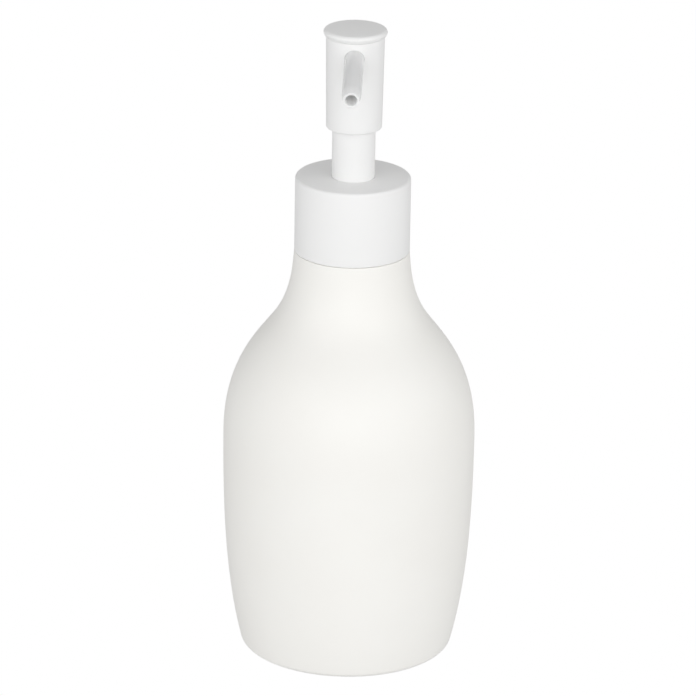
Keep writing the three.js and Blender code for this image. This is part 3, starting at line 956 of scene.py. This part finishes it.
def spout():
    """A long tube, straight for most of its length, that narrows to a plain round mouth."""
    shank = SPOUT_BORE + SPOUT_SHANK
    drum = radius("head_shell") - HEAD_WALL - CORE_CLEARANCE
    shoulder = drum + FIT_GAP + SPOUT_RADIUS * math.tan(SPOUT_DROOP)
    start = STEM_BORE + FIT_GAP
    inlet = rounded(
        [
            (SPOUT_BORE, start + 1),
            (SPOUT_BORE, start, 0.15),
            (shank, start, 0.2),
            (shank, shoulder, 0.1),
            (SPOUT_RADIUS, shoulder, 0.15),
            (SPOUT_RADIUS, shoulder + 1),
        ],
        steps=4,
    )[1:-1]
    taper_start = (SPOUT_RADIUS - 0.1, SPOUT_REACH - SPOUT_TAPER)
    barrel_start = shoulder + 0.5
    barrel = [
        (SPOUT_RADIUS - 0.1 * i / 30, barrel_start + (taper_start[1] - barrel_start) * i / 30)
        for i in range(31)
    ]
    mouth_corner = (SPOUT_TIP_RADIUS, SPOUT_REACH)
    narrowing = bezier(
        taper_start,
        (taper_start[0], SPOUT_REACH - 0.6 * SPOUT_TAPER),
        (SPOUT_TIP_RADIUS + 0.12, SPOUT_REACH - 0.3 * SPOUT_TAPER),
        mouth_corner,
        12,
    )
    mouth = rounded(
        [narrowing[-2], (*mouth_corner, 0.16), (SPOUT_BORE, mouth_corner[1], 0.12), (SPOUT_BORE, start)],
        steps=4,
    )[1:-1]
    return along_spout(revolve("spout_fine", inlet + barrel + narrowing[:-1] + mouth, sides=80))


# ---------------------------------------------------------------- assembly

# Each maker, its CAD node, and the slot of its material.
PIECES = [
    (bottle, "bottle", "bottle_white"),
    (collar_shell, "collar_shell", "pump_white"),
    (threaded_closure, "threaded_closure", "pump_white"),
    (neck_gasket, "neck_gasket", "gasket_foam"),
    (pump_housing, "pump_housing", "natural_plastic"),
    (lock_ring, "lock_ring", "pump_white"),
    (stem_wiper, "stem_wiper", "seal_plastic"),
    (ball_retainer, "ball_retainer", "natural_plastic"),
    (inlet_ball, "inlet_ball", "steel"),
    (return_spring, "return_spring", "steel"),
    (dip_tube, "dip_tube", "tube_plastic"),
    (piston_stem, "piston_stem", "natural_plastic"),
    (valve_plug, "valve_plug", "natural_plastic"),
    (piston, "piston", "seal_plastic"),
    (stem_sleeve, "stem_sleeve", "pump_white"),
    (actuator_core, "actuator_core", "natural_plastic"),
    (head_shell, "head_shell", "pump_white"),
    (head_cap, "head_cap", "pump_white"),
    (spout, "spout", "pump_white"),
]

# Pieces whose plastic differs from the rest of their slot: the spout's white is a lighter, fully translucent
# copy of the pump's white, painted lighter to brighten the shade in its bore and on its flanks.
OWN_MATERIAL = {"spout": "spout_white_painted_light"}

bodies = frame["record"]["behaviour"]["bodies"]
body_of_node = {node: body for body, nodes in bodies.items() for node in nodes}
made = {}
for make, node, slot in PIECES:
    material = MATERIALS[OWN_MATERIAL.get(node, slot)]
    made[node] = finish_piece(make(), node, body_of_node[node], material)

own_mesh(made["return_spring"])


# ---------------------------------------------------------------- floor, light and camera

# The floor's light, the room's even light, and soft boxes round the object. Each has its azimuth and
# elevation in degrees, how tight it is, and its strength.
FLOOR_LIGHT = 0.6
ROOM_LIGHT = 0.158
SOFT_BOXES = [
    (-45, 15, 6, 1.55),
    (45, 15, 6, 1.42),
    (0, 10, 30, 3.2),
    (0, 5, 4, 0.27),
    (-90, 15, 4, 0.41),
    (90, 15, 4, 0.77),
    (180, 30, 4, 0.5),
]


def direction(azimuth, elevation):
    """The way from the object to a place at an azimuth, in degrees right of the front, and an elevation."""
    turn, rise = math.radians(azimuth), math.radians(elevation)
    return Vector((math.sin(turn) * math.cos(rise), -math.cos(turn) * math.cos(rise), math.sin(rise)))


def white_to_the_eye(tree, seen, cast):
    """A strength that looks even white where it is seen, and lights the object with what it casts."""
    path = tree.nodes.new("ShaderNodeLightPath")
    mix = tree.nodes.new("ShaderNodeMix")
    tree.links.new(path.outputs["Is Camera Ray"], mix.inputs["Factor"])
    mix.inputs["B"].default_value = seen
    if isinstance(cast, float):
        mix.inputs["A"].default_value = cast
    else:
        tree.links.new(cast, mix.inputs["A"])
    return mix.outputs["Result"]


def floor():
    """A plain floor of even white that takes no shadow."""
    bm = bmesh.new()
    bmesh.ops.create_circle(bm, cap_ends=True, segments=64, radius=8)
    obj = new_object("floor", bm)
    obj.location.z = -0.0005
    material = bpy.data.materials.new("floor_white")
    material.use_nodes = True
    tree = material.node_tree
    shader = tree.nodes["Principled BSDF"]
    shader.inputs["Base Color"].default_value = (0, 0, 0, 1)
    shader.inputs["Roughness"].default_value = 1
    shader.inputs["Specular IOR Level"].default_value = 0
    shader.inputs["Emission Color"].default_value = (1, 1, 1, 1)
    tree.links.new(white_to_the_eye(tree, 1.0, FLOOR_LIGHT), shader.inputs["Emission Strength"])
    obj.data.materials.append(material)


def world():
    """A white room lit by soft boxes, mostly from the front, so the object's sides and top are darker."""
    made_world = bpy.data.worlds.new("room")
    made_world.use_nodes = True
    bpy.context.scene.world = made_world
    tree = made_world.node_tree
    place = tree.nodes.new("ShaderNodeTexCoord").outputs["Generated"]

    def value(operation, a, b):
        node = tree.nodes.new("ShaderNodeMath")
        node.operation = operation
        for socket, term in zip(node.inputs, (a, b)):
            if isinstance(term, (int, float)):
                socket.default_value = term
            else:
                tree.links.new(term, socket)
        return node.outputs[0]

    total = ROOM_LIGHT
    for azimuth, elevation, tightness, strength in SOFT_BOXES:
        facing = tree.nodes.new("ShaderNodeVectorMath")
        facing.operation = "DOT_PRODUCT"
        tree.links.new(place, facing.inputs[0])
        facing.inputs[1].default_value = direction(azimuth, elevation)
        glow = value("POWER", value("MAXIMUM", facing.outputs["Value"], 0), tightness)
        total = value("ADD", value("MULTIPLY", glow, strength), total)
    background = tree.nodes["Background"]
    background.inputs["Color"].default_value = (1, 1, 1, 1)
    tree.links.new(white_to_the_eye(tree, 1.0, total), background.inputs["Strength"])


def camera():
    """A long lens in front, looking a little down and a touch from the right, tilted as if held by hand."""
    distance = 1.6
    roll = math.radians(0.945)
    aim = Vector((-0.000695, 0, 0.09334))
    back = direction(1.4, 20.6)
    data = bpy.data.cameras.new("camera")
    data.sensor_width = 36
    data.lens = 278.6
    data.clip_start = 0.05
    data.clip_end = 50
    obj = bpy.data.objects.new("camera", data)
    turn = (-back).to_track_quat("-Z", "Y").to_matrix().to_4x4() @ Matrix.Rotation(roll, 4, "Z")
    obj.matrix_world = Matrix.Translation(aim + back * distance) @ turn
    bpy.context.scene.collection.objects.link(obj)
    bpy.context.scene.camera = obj


floor()
world()
camera()
bpy.context.scene.view_settings.view_transform = "Standard"
